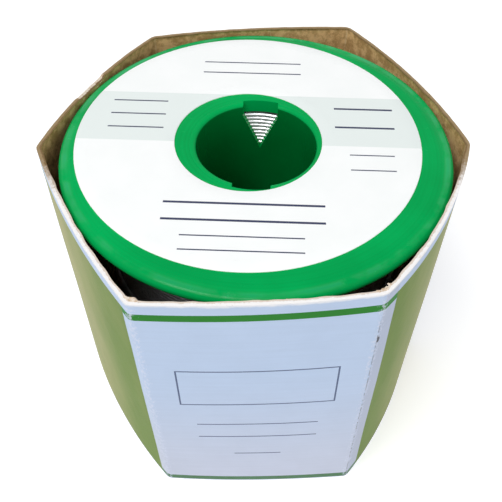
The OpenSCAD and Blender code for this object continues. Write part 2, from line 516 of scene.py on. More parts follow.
    def blank_field(
        self, shader: Shader, along: bpy.types.NodeSocket, up: bpy.types.NodeSocket
    ) -> bpy.types.NodeSocket:
        """Draws an empty frame and plain lines to write on, on the front wall."""
        half, line = self.field_w / 2, self.line_w
        outer = shader.math("MULTIPLY", shader.between(along, -half, half),
                            shader.between(up, self.field_low, self.field_high))
        inner = shader.math(
            "MULTIPLY", shader.between(along, line - half, half - line),
            shader.between(up, self.field_low + line, self.field_high - line),
        )
        drawn = shader.math("SUBTRACT", outer, inner)
        for width, height in self.lines:
            bar = shader.math("MULTIPLY", shader.between(along, -width / 2, width / 2),
                              shader.between(up, height - line / 2, height + line / 2))
            drawn = shader.math("MAXIMUM", drawn, bar)
        return drawn

    def wear(
        self, shader: Shader, colour: object, along: bpy.types.NodeSocket,
        up: bpy.types.NodeSocket,
    ) -> tuple[bpy.types.NodeSocket, bpy.types.NodeSocket]:
        """Rubs the creases: pale specks beside them and a broken dark line in one.

        Args:
            shader: The material.
            colour: The printed colour.
            along: Distance along the walls.
            up: Height.

        Returns:
            The worn colour and how worn it is.
        """
        wall_mm = self.wall_w / MM
        to_crease = shader.math("PINGPONG", shader.math("ADD", along, wall_mm / 2),
                                wall_mm / 2)
        near = shader.smooth(to_crease, self.wear_w, 0.0)
        speck = shader.noise(shader.scaled((1, 0.7, 1), source="UV"), 1.7, 5, 0.75)
        patchy = shader.noise(shader.scaled((1, 1, 1), source="UV"), 0.22, 2, 0.5)
        level = shader.math("ADD", shader.math("MULTIPLY", near, 0.2),
                            shader.math("MULTIPLY", patchy, 0.12))
        level = shader.math("ADD", level, speck)
        worn = shader.math("MULTIPLY", shader.smooth(level, 0.72, 0.8),
                           shader.math("GREATER_THAN", near, 0.02))
        colour = shader.mix(shader.math("MULTIPLY", worn, 0.7), colour, self.worn)
        rim_noise = shader.noise(shader.scaled((0.5, 1, 1), source="UV"), 0.8, 3, 0.6)
        top = self.height / MM
        rim = shader.math("SUBTRACT", shader.math("ADD", up, rim_noise), 0.5)
        rub = shader.smooth(rim, top - self.rub_w, top - 0.1)
        colour = shader.mix(shader.math("MULTIPLY", rub, 0.9), colour, self.rubbed)

        from_fold = shader.math("SUBTRACT", along, wall_mm / 2)
        line = shader.between(from_fold, -self.crease_line_w, self.crease_line_w)
        broken = shader.noise(shader.scaled((0.5, 1, 1), source="UV"), 0.9, 4, 0.7)
        line = shader.math("MULTIPLY", line, shader.smooth(broken, 0.42, 0.56))
        line = shader.math("MULTIPLY", line, shader.smooth(up, top - 5.0, top - 9.0))
        across = shader.math("DIVIDE", shader.math("SUBTRACT", from_fold, self.nick[0]),
                             self.nick_r[0])
        rise = shader.math("DIVIDE", shader.math("SUBTRACT", up, self.nick[1]),
                           self.nick_r[1])
        spot = shader.math("ADD", shader.math("POWER", across, 2.0),
                           shader.math("POWER", rise, 2.0))
        line = shader.math("MAXIMUM", shader.math("MULTIPLY", line, 0.6),
                           shader.math("LESS_THAN", spot, 1.0))
        return shader.mix(line, colour, self.creased), worn


@dataclass(frozen=True)
class KraftBoard:
    """Bare brown board: the carton's inside and its folded-in flaps."""

    name: str = "kraft_board"
    dark: Colour = screen(186, 146, 94)
    light: Colour = screen(238, 196, 138)
    fleck: Colour = screen(244, 214, 162)
    # lighter streak along the inside folds: rubbed board and painted highlight
    creased: Colour = screen(236, 206, 158)
    crease_rub_and_highlight_w: float = 0.5
    wall_w: float = 0.0

    def build(self) -> bpy.types.Material:
        """Makes the material; with a wall_w, its UV map shows where the creases are."""
        shader = Shader(self.name)
        place = shader.scaled((1, 1, 1))
        cloud = shader.noise(place, 420, 6, 0.75)
        fibre = shader.noise(shader.scaled((1, 1, 0.35)), 2600, 4, 0.7)
        flecks = shader.noise(shader.scaled((1, 1, 0.5)), 1500, 3, 0.75)
        colour = shader.mix(shader.smooth(cloud, 0.4, 0.62), self.dark, self.light)
        colour = shader.mix(
            shader.math("MULTIPLY", shader.smooth(flecks, 0.58, 0.74), 0.6),
            colour, self.fleck,
        )
        if self.wall_w > 0:
            split = shader.add("ShaderNodeSeparateXYZ")
            shader.link(shader.places.outputs["UV"], split.inputs[0])
            wall_mm = self.wall_w / MM
            along = shader.math("ADD", split.outputs["X"], wall_mm / 2)
            to_crease = shader.math("PINGPONG", along, wall_mm / 2)
            # lighter, patchy streak along the inside folds: rubbed board and painted highlight
            streak = shader.math("MULTIPLY", shader.smooth(to_crease, self.crease_rub_and_highlight_w, 0.0),
                                 shader.smooth(cloud, 0.36, 0.56))
            colour = shader.mix(shader.math("MULTIPLY", streak, 0.7), colour, self.creased)
        normal = shader.bump(fibre, 0.00004, 0.6)
        normal = shader.bump(cloud, 0.0001, 0.4, normal)
        rough = shader.math("ADD", shader.math("MULTIPLY", fibre, 0.15), 0.75)
        shader.set(Base_Color=colour, Roughness=rough, Normal=normal)
        shader.set(Specular_IOR_Level=0.25)
        return shader.material


@dataclass(frozen=True)
class CutEdge:
    """The board's cut edge: its white lining outside and its tan ply inside.

    Towards the back the edge turns a darker brown. The piece's UV map runs across the edge
    in Y, from 0 outside to 1 inside, and its X is 1 where a ply is torn off.
    """

    lining: Colour = screen(248, 246, 246)
    ply: Colour = screen(222, 209, 196)
    shade: Colour = screen(214, 199, 183)
    torn: Colour = screen(234, 221, 206)
    torn_shade: Colour = screen(206, 180, 152)
    # painted shade: the torn inner ply's broken face, kraft brown darkened as if in shadow
    broken: Colour = screen(126, 102, 68)
    brown: Colour = screen(156, 134, 100)
    brown_ply: Colour = screen(128, 104, 70)
    lining_share: float = 0.62
    brown_from: float = -13.0
    brown_to: float = -4.0

    def build(self) -> bpy.types.Material:
        """Makes the material."""
        shader = Shader("board_cut_edge")
        split = shader.add("ShaderNodeSeparateXYZ")
        shader.link(shader.places.outputs["UV"], split.inputs[0])
        solid = shader.add("ShaderNodeSeparateXYZ")
        shader.link(shader.scaled((1 / MM,) * 3), solid.inputs[0])
        ragged = shader.noise(shader.scaled((1, 1, 1)), 1500, 5, 0.7)
        patch = shader.noise(shader.scaled((1, 1, 1)), 260, 3, 0.6)
        across = shader.math("ADD", split.outputs["Y"],
                             shader.math("MULTIPLY", shader.math("SUBTRACT", ragged, 0.5), 0.8))
        inside = shader.smooth(across, self.lining_share - 0.1, self.lining_share + 0.1)
        colour = shader.mix(inside, self.lining, self.ply)
        # the edge turns a darker brown towards the back, along a ragged boundary
        back = shader.math("ADD", solid.outputs["Y"],
                           shader.math("MULTIPLY", shader.math("SUBTRACT", ragged, 0.5), 9.0))
        back_share = shader.smooth(back, self.brown_from, self.brown_to)
        colour = shader.mix(back_share, colour, shader.mix(inside, self.brown, self.brown_ply))
        dirt = shader.math("MULTIPLY", shader.smooth(ragged, 0.52, 0.7),
                           shader.smooth(patch, 0.45, 0.7))
        dirt = shader.math("MULTIPLY", dirt, shader.math("SUBTRACT", 1.0, back_share))
        colour = shader.mix(dirt, colour, self.shade)
        bare = shader.mix(shader.smooth(ragged, 0.42, 0.62), self.torn, self.torn_shade)
        # painted shade: the inner part of a torn edge turns to this dark brown
        bare = shader.mix(shader.smooth(across, 0.5, 0.62), bare, self.broken)
        colour = shader.mix(split.outputs["X"], colour, bare)
        shader.set(Base_Color=colour, Roughness=0.85, Specular_IOR_Level=0.2)
        shader.set(Normal=shader.bump(ragged, 0.00008, 0.8))
        return shader.material


@dataclass(frozen=True)
class MouldedPlastic:
    """Glossy green plastic with the faint turning marks of its mould and a painted highlight at
    the rim.
    """

    name: str = "moulded_green_plastic"
    colour: Colour = screen(0, 175, 89)
    deep: Colour = screen(0, 157, 77)
    # painted highlight: a patchy band near the flange's rim reflects more, with a cyan tint
    rim_r: float = 31.9 * MM
    rim_half: float = 0.8 * MM
    rim_sheen: float = 0.7
    painted_highlight_tint: Colour = (0.25, 0.75, 1.0, 1.0)

    def build(self) -> bpy.types.Material:
        """Makes the material; the marks are rings about the spool's axis."""
        shader = Shader(self.name)
        place = shader.scaled((1, 1, 1))
        split = shader.add("ShaderNodeSeparateXYZ")
        shader.link(place, split.inputs[0])
        across = shader.math("POWER", split.outputs["X"], 2.0)
        along = shader.math("POWER", split.outputs["Y"], 2.0)
        radius = shader.math("SQRT", shader.math("ADD", across, along))
        rings = shader.add("ShaderNodeTexNoise", noise_dimensions="1D")
        shader.link(radius, rings.inputs["W"])
        rings.inputs["Scale"].default_value = 2200
        rings.inputs["Detail"].default_value = 3
        cloud = shader.noise(place, 60, 3, 0.5)
        orange_peel = shader.noise(place, 900, 2, 0.5)
        scuff = shader.noise(shader.scaled((1, 1, 0.2)), 480, 6, 0.72)
        streaks = shader.math("MULTIPLY", rings.outputs["Fac"], 0.25)
        streaks = shader.math("ADD", streaks, shader.math("MULTIPLY", cloud, 0.75))
        colour = shader.mix(shader.smooth(streaks, 0.3, 0.7), self.deep, self.colour)
        normal = shader.bump(rings.outputs["Fac"], 0.000012, 0.5)
        normal = shader.bump(orange_peel, 0.00002, 0.25, normal)
        worn = shader.smooth(scuff, 0.6, 0.75)
        rough = shader.math("ADD", shader.math("MULTIPLY", worn, 0.16), 0.25)
        shader.set(Base_Color=colour, Roughness=rough, Normal=normal)
        # painted highlight: stronger, cyan-tinted reflection in a patchy band near the flange's
        # rim
        aside = shader.math("ABSOLUTE", shader.math("SUBTRACT", radius, self.rim_r))
        painted_highlight_band = shader.math("MULTIPLY", shader.smooth(aside, self.rim_half, 0.0),
                             shader.smooth(shader.noise(place, 190, 4, 0.65), 0.38, 0.62))
        sheen = shader.math("MULTIPLY", painted_highlight_band, self.rim_sheen)
        shader.set(IOR=1.46, Specular_IOR_Level=shader.math("ADD", sheen, 0.05))
        shader.set(Specular_Tint=shader.mix(painted_highlight_band, (1, 1, 1, 1), self.painted_highlight_tint))
        return shader.material


@dataclass(frozen=True)
class LabelPaper:
    """The round label's paper, printed with one pale band and plain write-in rules."""

    centre: tuple[float, float, float]
    radius: float
    hole_r: float
    turn: float = math.radians(3.5)
    paper: Colour = screen(253, 255, 255)
    band: Colour = screen(232, 240, 238)
    ink: Colour = screen(46, 52, 84)
    band_low: float = -1.45
    band_high: float = 11.6

    def build(self) -> bpy.types.Material:
        """Makes the material, with its pattern centred on the label."""
        shader = Shader("label_paper")
        place = shader.scaled((1 / MM,) * 3, self.centre, self.turn)
        split = shader.add("ShaderNodeSeparateXYZ")
        shader.link(place, split.inputs[0])
        across, up = split.outputs["X"], split.outputs["Y"]
        on_band = shader.between(up, self.band_low, self.band_high)
        tint = shader.noise(place, 0.12, 3, 0.5)
        paper = shader.mix(shader.smooth(tint, 0.3, 0.7), self.paper, self.band)
        paper = shader.mix(0.82, paper, self.paper)
        colour = shader.mix(on_band, paper, self.band)
        rules: Optional[bpy.types.NodeSocket] = None
        for left, right, height, thick in self.write_in_rules():
            bar = shader.math(
                "MULTIPLY",
                shader.between(across, left, right),
                shader.between(up, height - thick / 2, height + thick / 2),
            )
            rules = bar if rules is None else shader.math("MAXIMUM", rules, bar)
        break_up = shader.noise(place, 9, 3, 0.6)
        rules = shader.math("MULTIPLY", rules, shader.smooth(break_up, 0.2, 0.34))
        colour = shader.mix(rules, colour, self.ink)
        fibre = shader.noise(place, 14, 4, 0.6)
        lift = shader.noise(place, 0.16, 2, 0.5)
        normal = shader.bump(fibre, 0.00001, 0.3)
        normal = shader.bump(lift, 0.0002, 0.35, normal)
        rough = shader.math("ADD", shader.math("MULTIPLY", fibre, 0.12), 0.34)
        shader.set(Base_Color=colour, Roughness=rough, Normal=normal)
        shader.set(Specular_IOR_Level=0.4)
        return shader.material

    def write_in_rules(self) -> list[tuple[float, float, float, float]]:
        """Gives the plain rules to write on: left, right, height and thickness, in mm."""
        head = [(-9.0, 9.0, height, 0.3) for height in (21.4, 18.2)]
        left = [(-24.2, -14.6, height, 0.3) for height in (9.2, 5.6, 2.0)]
        right = [(14.8, 25.0, height, 0.45) for height in (8.4, 3.4)]
        right += [(17.0, 24.4, height, 0.25) for height in (-3.6, -7.2)]
        foot = [(-12.6, 12.6, height, 0.45) for height in (-15.6, -19.2)]
        foot += [(-9.4, 9.4, height, 0.25) for height in (-22.4, -25.2)]
        return head + left + right + foot


@dataclass(frozen=True)
class SolderWire:
    """Bright tin alloy wire with a faint drawn grain."""

    name: str = "tin_alloy_wire"
    bright: Colour = screen(255, 255, 255)
    dull: Colour = screen(236, 238, 244)
    metallic: float = 0.7
    roughness: float = 0.14

    def build(self) -> bpy.types.Material:
        """Makes the material."""
        shader = Shader(self.name)
        place = shader.scaled((1, 1, 1))
        patch = shader.noise(place, 180, 4, 0.6)
        grain = shader.noise(shader.scaled((1, 1, 6)), 1500, 4, 0.6)
        colour = shader.mix(shader.smooth(patch, 0.35, 0.65), self.dull, self.bright)
        rough = shader.math("ADD", shader.math("MULTIPLY", grain, 0.2), self.roughness)
        shader.set(Base_Color=colour, Metallic=self.metallic, Roughness=rough)
        shader.set(Normal=shader.bump(grain, 0.00001, 0.4))
        return shader.material


@dataclass(frozen=True)
class WhiteFloor:
    """Plain white studio floor: white to the camera and in reflections, with shadow."""

    colour: Colour = screen(243, 243, 243)
    lift: float = 0.34
    white_from: float = 0.16
    white_at: float = 0.6

    def build(self) -> bpy.types.Material:
        """Makes the material."""
        shader = Shader("studio_floor")
        paths = shader.add("ShaderNodeLightPath")
        seen = shader.math("MAXIMUM", paths.outputs["Is Camera Ray"],
                           paths.outputs["Is Glossy Ray"])
        seen = shader.math("MAXIMUM", seen, paths.outputs["Is Transmission Ray"])
        reach = shader.add("ShaderNodeVectorMath", operation="LENGTH")
        shader.link(shader.places.outputs["Object"], reach.inputs[0])
        far = shader.smooth(reach.outputs["Value"], self.white_from, self.white_at)
        lift = shader.math("MAXIMUM", far, self.lift)
        cloud = shader.noise(shader.scaled((1, 1, 1)), 3, 2, 0.5)
        tone = shader.mix(shader.smooth(cloud, 0.2, 0.8), self.colour,
                          screen(247, 247, 247))
        shader.set(Base_Color=tone, Roughness=0.9, Specular_IOR_Level=0.1)
        shader.set(Emission_Color=(1, 1, 1, 1))
        shader.set(Emission_Strength=shader.math("MULTIPLY", seen, lift))
        return shader.material


# ------------------------------------------------------------------- mesh helpers


def finished(
    name: str,
    bm: bmesh.types.BMesh,
    materials: Sequence[bpy.types.Material],
    crisp: float = 32.0,
) -> bpy.types.Object:
    """Turns a bmesh into an object, smooth except along its crisp edges.

    Args:
        name: Name of the piece.
        bm: The mesh, which is freed.
        materials: Materials in the order of the faces' indices.
        crisp: Angle in degrees past which an edge stays crisp.

    Returns:
        The new object.
    """
    limit = math.radians(crisp)
    for face in bm.faces:
        face.smooth = True
    for edge in bm.edges:
        edge.smooth = edge.is_manifold and edge.calc_face_angle(0.0) < limit
    mesh = bpy.data.meshes.new(name)
    bm.to_mesh(mesh)
    bm.free()
    for material in materials:
        mesh.materials.append(material)
    piece = bpy.data.objects.new(name, mesh)
    bpy.context.scene.collection.objects.link(piece)
    return piece


def turned(bm: bmesh.types.BMesh, geometry: list, steps: int) -> None:
    """Spins a half section a full turn about Z and welds its seam.

    Args:
        bm: The mesh that holds the section.
        geometry: The section's vertices and edges.
        steps: Number of steps round the axis.
    """
    bmesh.ops.spin(
        bm, geom=geometry, cent=(0, 0, 0), axis=(0, 0, 1), angle=FULL_TURN,
        steps=steps, use_merge=True, use_duplicate=False,
    )
    bmesh.ops.remove_doubles(bm, verts=bm.verts, dist=1e-7)
    bmesh.ops.recalc_face_normals(bm, faces=bm.faces)


def section_ring(
    corners: Sequence[tuple[float, float, float]], steps: int, segments: int = 6,
    longest: float = 2.5 * MM,
) -> bmesh.types.BMesh:
    """Revolves a closed outline whose corners are rounded.

    Args:
        corners: Radius, height and rounding radius of each corner, in metres.
        steps: Number of steps round the axis.
        segments: Segments of each rounded corner.
        longest: Longest edge of the outline before it is split.

    Returns:
        The closed ring.
    """
    bm = bmesh.new()
    vertices = [bm.verts.new((r, 0, z)) for r, z, _ in corners]
    bm.faces.new(vertices)
    rounding = {vertex: corner[2] for vertex, corner in zip(vertices, corners)}
    for size in sorted({corner[2] for corner in corners if corner[2] > 0}):
        chosen = [v for v in bm.verts if rounding.get(v) == size]
        bmesh.ops.bevel(
            bm, geom=chosen, offset=size, offset_type="OFFSET", segments=segments,
            profile=0.5, affect="VERTICES", material=-1,
        )
    bmesh.ops.delete(bm, geom=bm.faces[:], context="FACES_ONLY")
    for edge in [e for e in bm.edges if e.calc_length() > longest]:
        cuts = int(edge.calc_length() / longest)
        bmesh.ops.subdivide_edges(bm, edges=[edge], cuts=cuts)
    turned(bm, bm.verts[:] + bm.edges[:], steps)
    return bm


def prism(outline: Sequence[Point2], depth: float) -> bmesh.types.BMesh:
    """Extrudes an outline in X and Z along Y, to each side of the middle.

    Args:
        outline: Corners of the outline.
        depth: Full depth along Y.

    Returns:
        The closed prism.
    """
    bm = bmesh.new()
    face = bm.faces.new([bm.verts.new((x, -depth / 2, z)) for x, z in outline])
    made = bmesh.ops.extrude_face_region(bm, geom=[face])
    moved = [v for v in made["geom"] if isinstance(v, bmesh.types.BMVert)]
    bmesh.ops.translate(bm, verts=moved, vec=(0, depth, 0))
    bmesh.ops.recalc_face_normals(bm, faces=bm.faces)
    return bm


def cut_away(
    body: bmesh.types.BMesh, cutters: Iterable[bmesh.types.BMesh]
) -> bmesh.types.BMesh:
    """Subtracts closed meshes from a closed mesh.

    Args:
        body: The mesh that is cut, which is freed.
        cutters: The meshes that are taken away, which are freed.

    Returns:
        The cut mesh.
    """
    scratch: list[bpy.types.Object] = []

    def stand_in(bm: bmesh.types.BMesh) -> bpy.types.Object:
        """Makes an object for the modifier to work on."""
        mesh = bpy.data.meshes.new("cutting")
        bm.to_mesh(mesh)
        bm.free()
        thing = bpy.data.objects.new("cutting", mesh)
        bpy.context.scene.collection.objects.link(thing)
        scratch.append(thing)
        return thing

    held = stand_in(body)
    for cutter in cutters:
        modifier = held.modifiers.new("cut", "BOOLEAN")
        modifier.operation = "DIFFERENCE"
        modifier.solver = "EXACT"
        modifier.object = stand_in(cutter)
    bpy.context.view_layer.update()
    seen = held.evaluated_get(bpy.context.evaluated_depsgraph_get())
    result = bmesh.new()
    result.from_mesh(seen.to_mesh())
    seen.to_mesh_clear()
    for thing in scratch:
        mesh = thing.data
        bpy.data.objects.remove(thing)
        bpy.data.meshes.remove(mesh)
    return result


def ease_edges(
    bm: bmesh.types.BMesh, chosen: Callable[[Vector], bool], size: float
) -> None:
    """Rounds the crisp edges whose middle a test picks.

    Args:
        bm: The mesh.
        chosen: Test of an edge's middle.
        size: Rounding radius.
    """
    limit = math.radians(50)
    edges = [
        e for e in bm.edges
        if e.is_manifold and e.calc_face_angle(0.0) > limit
        and chosen((e.verts[0].co + e.verts[1].co) / 2)
    ]
    bmesh.ops.bevel(
        bm, geom=edges, offset=size, offset_type="OFFSET", segments=2, profile=0.5,
        affect="EDGES", material=-1, clamp_overlap=True,
    )


class Assembly:
    """A sub-assembly whose pieces ride on one body."""

    body: Body

    def settle(
        self, piece: bpy.types.Object, slot: Slot, *nodes: str
    ) -> bpy.types.Object:
        """Hands a piece to the frame and reports it.

        Args:
            piece: The finished piece.
            slot: The record's material slot; not used.
            *nodes: Solids that the piece stands for.

        Returns:
            The piece.
        """
        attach(piece, self.body.value)
        if nodes:
            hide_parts(*nodes)
        LOG.info("%s: %d faces on %s", piece.name, len(piece.data.polygons),
                 self.body.value)
        return piece

    def dress(self, node: str, material: bpy.types.Material) -> None:
        """Gives a solid that stays as it is a better material."""
        thing = frame["nodes"][node]
        thing.data.materials.clear()
        thing.data.materials.append(material)
        LOG.info("%s: kept, finished as %s", node, material.name)


# ------------------------------------------------------------------------- carton


@dataclass
class Carton(Assembly):
    """The folded board carton."""

    plan: CartonPlan
    body: Body = Body.CARTON
    wall_cuts: int = 51
    crease_r: float = 0.6 * MM
    tear_w: float = 8.2 * MM
    tear_depth: float = 0.75 * MM
    torn_dip: float = 0.25 * MM
    tear_shift: float = 0.7 * MM
    tear_edge: tuple[Point2, ...] = (
        (-1.02, 0.0), (-1.0, 0.5), (-0.85, 0.85), (-0.2, 1.0), (0.4, 0.95), (0.8, 0.75),
        (0.93, 0.4), (1.0, 0.0),
    )
    burr: float = 0.24 * MM
    lap_w: float = 6.3 * MM
    lap_t: float = 0.4 * MM
    lap_drop: float = 0.12 * MM
    warp: float = 0.12 * MM
    rim_rows: tuple[float, ...] = (0.25, 0.6, 1.1, 1.8, 3.0)
    row_h: float = 4.0 * MM
    seed: int = 11

    def build(self) -> None:
        """Makes every piece of the carton."""
        printed = PrintedBoard(self.plan.wall_w, self.plan.height).build()
        kraft = KraftBoard().build()
        inside = KraftBoard(name="kraft_lining", wall_w=self.plan.wall_w).build()
        edge = CutEdge().build()
        walls = self.wrap((printed, inside, edge))
        self.settle(walls, Slot.WHITE_BOARD, *WALL_NODES.values())
        self.settle(self.lap(kraft), Slot.KRAFT, "glue_flap")
        self.settle(self.frays(edge), Slot.KRAFT)
        for node in ("base_flap", "front_dust_flap",
                     "right_front_dust_flap", "right_back_dust_flap",
                     "left_back_dust_flap", "left_front_dust_flap"):
            self.dress(node, kraft)

    def rows(self) -> list[float]:
        """Gives the heights of the mesh's rows, closer together near the rim."""
        top = self.plan.height
        near_rim = [top - drop * MM for drop in self.rim_rows]
        count = int((top - self.rim_rows[-1] * MM) / self.row_h)
        even = [near_rim[-1] * step / count for step in range(1, count)]
        return even + near_rim[::-1] + [top]

    def tear(self, along: float) -> float:
        """Gives how torn the rim is, from 0 to 1, at a distance along its wall."""
        where = (along - self.tear_shift) / (self.tear_w / 2)
        for (start, first), (end, last) in zip(self.tear_edge, self.tear_edge[1:]):
            if start <= where < end:
                return first + (last - first) * (where - start) / (end - start)
        return 0.0

    def wrap(self, finishes: Sequence[bpy.types.Material]) -> bpy.types.Object:
        """Folds the six walls from one strip of board.

        Args:
            finishes: Finishes of the outside, the inside and the cut edges.

        Returns:
            The walls as one piece.
        """
        bm = bmesh.new()
        corners = [bm.verts.new((*self.plan.crease(i), 0)) for i in range(6)]
        chords = [bm.edges.new((corners[i - 1], corners[i])) for i in range(6)]
        bmesh.ops.subdivide_edges(bm, edges=chords, cuts=self.wall_cuts)
        for vertex in bm.verts:
            wall = self.plan.nearest_wall(vertex.co.x, vertex.co.y)
            along = self.plan.along(wall, vertex.co.x, vertex.co.y)
            vertex.co.xy = self.plan.place(wall, along)
        self.raise_walls(bm)
        self.round_creases(bm)
        bmesh.ops.recalc_face_normals(bm, faces=bm.faces)
        self.map_print(bm)
        self.handle(bm)
        self.age_rim(bm)
        outer_faces, outer_verts = set(bm.faces), set(bm.verts)
        bmesh.ops.solidify(bm, geom=bm.faces[:], thickness=self.plan.board_t)
        self.lay_finishes(bm, outer_faces, outer_verts)
        return finished("carton_walls", bm, finishes, 40.0)

    def raise_walls(self, bm: bmesh.types.BMesh) -> None:
        """Extrudes the strip's foot up to its rim, row by row."""
        ring = bm.edges[:]
        last = 0.0
        for height in self.rows():
            made = bmesh.ops.extrude_edge_only(bm, edges=ring)["geom"]
            moved = [g for g in made if isinstance(g, bmesh.types.BMVert)]
            ring = [g for g in made if isinstance(g, bmesh.types.BMEdge)]
            bmesh.ops.translate(bm, verts=moved, vec=(0, 0, height - last))
            last = height

    def round_creases(self, bm: bmesh.types.BMesh) -> None:
        """Rounds the folds between the walls."""
        folds = [self.plan.crease(i) for i in range(6)]
        edges = [
            e for e in bm.edges
            if abs(e.verts[0].co.z - e.verts[1].co.z) > 1e-5
            and min((e.verts[0].co.xy - f).length for f in folds) < 1e-5
        ]
        bmesh.ops.bevel(
            bm, geom=edges, offset=self.crease_r, offset_type="OFFSET", segments=4,
            profile=0.5, affect="EDGES", material=-1,
        )

    def map_print(self, bm: bmesh.types.BMesh) -> None:
        """Maps the outside in millimetres along and up the walls."""
        layer = bm.loops.layers.uv.new("board_mm")
        for face in bm.faces:
            centre = face.calc_center_median()
            wall = self.plan.nearest_wall(centre.x, centre.y)
            for loop in face.loops:
                place = loop.vert.co
                along = self.plan.along(wall, place.x, place.y)
                loop[layer].uv = ((wall.value * self.plan.wall_w + along) / MM, place.z / MM)

    def handle(self, bm: bmesh.types.BMesh) -> None:
        """Leans the creases of the regular carton as handling has left them."""
        for vertex in bm.verts:
            x, y, height = vertex.co
            wall = self.plan.nearest_wall(x, y)
            along = self.plan.along(wall, x, y)
            along = max(-self.plan.wall_w / 2, min(self.plan.wall_w / 2, along))
            moved = self.plan.place(wall, along, height) - self.plan.place(wall, along)
            vertex.co.xy += moved

    def age_rim(self, bm: bmesh.types.BMesh) -> None:
        """Warps the walls a little, roughens the cut rim and dips the torn place."""
        top = self.plan.height
        for vertex in bm.verts:
            place = vertex.co.copy()
            outward = Vector((place.x, place.y, 0)).normalized()
            wave = noise.noise(place * 42 + Vector((3, 1, 7)))
            vertex.co += outward * self.warp * (wave - 0.35)
            if place.z > top - 1e-6:
                vertex.co.z += 0.06 * MM * (noise.noise(place * 700) - 0.8)
            vertex.co.z -= self.torn_dip * self.torn_at(place) * self.near_rim(place)

    def near_rim(self, place: Vector) -> float:
        """Gives a share that falls from 1 at the rim to 0 at the lowest close row."""
        reach = self.rim_rows[-1] * MM
        return min(1.0, max(0.0, 1 + (place.z - self.plan.height) / reach))

    def torn_at(self, place: Vector) -> float:
        """Gives how torn the walls are at a point, with the tear's raggedness."""
        if self.plan.nearest_wall(place.x, place.y) is not Wall.LEFT_BACK:
            return 0.0
        along = self.plan.along(Wall.LEFT_BACK, place.x, place.y, self.plan.height)
        share = self.tear(along)
        return share * (1 + 0.15 * noise.noise(place * 1900))

    def lay_finishes(
        self, bm: bmesh.types.BMesh, outer_faces: set, outer_verts: set
    ) -> None:
        """Gives each face its finish and works the inner corner of the cut rim.

        The inner ply is torn off in one place, and elsewhere the cut has a burr. The
        cut edges are mapped from outside to inside.

        Args:
            bm: The solid walls.
            outer_faces: Faces of the outside.
            outer_verts: Corners of the outside.
        """
        layer = bm.loops.layers.uv["board_mm"]
        cut_faces = [f for f in bm.faces
                     if f not in outer_faces and any(v in outer_verts for v in f.verts)]
        inner_rim = {v for f in cut_faces for v in f.verts
                     if v not in outer_verts and v.co.z > self.plan.height / 2}
        torn = {v: self.torn_at(v.co) for v in bm.verts if v not in outer_verts}
        for vertex, share in torn.items():
            peeled = (self.tear_depth - self.torn_dip) * share * self.near_rim(vertex.co)
            if vertex in inner_rim:
                inward = -Vector((vertex.co.x, vertex.co.y, 0)).normalized()
                thick = 0.75 + 0.9 * noise.noise(vertex.co * 420)
                vertex.co += inward * self.burr * max(0.0, thick) * (1 - min(1.0, share))
            vertex.co.z -= peeled
        for face in bm.faces:
            if face in outer_faces:
                face.material_index = 0
            elif face in cut_faces:
                inner = [torn[v] for v in face.verts if v not in outer_verts]
                bare = float(sum(inner) > 0.4 * len(inner) > 0)
                face.material_index = 2
                for loop in face.loops:
                    loop[layer].uv = (bare, float(loop.vert not in outer_verts))
            else:
                face.material_index = 1

    def lap(self, kraft: bpy.types.Material) -> bpy.types.Object:
        """Folds the back wall's end inside the right back wall, where it is glued.

        Args:
            kraft: Its finish.

        Returns:
            The lap.
        """
        bm = bmesh.new()
        bmesh.ops.create_grid(bm, x_segments=8, y_segments=16, size=0.5)
        half, board = self.plan.wall_w / 2, self.plan.board_t
        bottom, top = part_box("glue_flap")[0][2], self.plan.height - self.lap_drop
        for vertex in bm.verts:
            height = bottom + (top - bottom) * (vertex.co.y + 0.5)
            along = half - 1.3 * board - self.lap_w * (0.5 - vertex.co.x)
            spot = self.plan.place(Wall.RIGHT_BACK, along, height, board + 0.1 * MM)
            vertex.co = (spot.x, spot.y, height)
        bmesh.ops.solidify(bm, geom=bm.faces[:], thickness=self.lap_t)
        return finished("glued_lap", bm, (kraft,), 40.0)

    def frays(self, edge: bpy.types.Material) -> bpy.types.Object:
        """Makes the lumps of loose fibre at the front folds and the torn place.

        Args:
            edge: Finish of the lumps.

        Returns:
            All the lumps as one piece.
        """
        rng = random.Random(self.seed)
        bm = bmesh.new()
        layer = bm.loops.layers.uv.new("board_mm")
        half = self.plan.wall_w / 2
        board = self.plan.board_t
        clusters = (
            (Wall.FRONT, 1.2 * MM - half, 0.6 * MM, 9, 0.95 * MM),
            (Wall.LEFT_FRONT, half - 0.9 * MM, 0.4 * MM, 3, 0.6 * MM),
            (Wall.FRONT, half - 0.9 * MM, 0.4 * MM, 5, 0.7 * MM),
            (Wall.RIGHT_FRONT, 1.3 * MM - half, 0.7 * MM, 8, 0.8 * MM),
            (Wall.LEFT_BACK, self.tear_shift, 0.45 * self.tear_w, 5, 0.26 * MM),
            (Wall.FRONT, 0.0, 0.8 * half, 9, 0.22 * MM),
            (Wall.RIGHT_FRONT, 0.0, 0.8 * half, 6, 0.2 * MM),
        )
        for wall, middle, spread, count, size in clusters:
            for _ in range(count):
                along = middle + rng.uniform(-1, 1) * spread
                height = self.plan.height - 0.08 * MM
                if wall is Wall.LEFT_BACK:
                    height -= self.tear_depth * self.tear(along)
                inset = rng.uniform(0.8, 1.3) * board + 0.35 * size
                spot = self.plan.place(wall, along, height, inset)
                seat = Vector((spot.x, spot.y, height + rng.uniform(-0.12, 0.02) * MM))
                self.lump(bm, seat, size * rng.uniform(0.6, 1.2), rng)
        for face in bm.faces:
            for loop in face.loops:
                loop[layer].uv = (1.0, 0.3)
        return finished("rim_frays", bm, (edge,), 30.0)

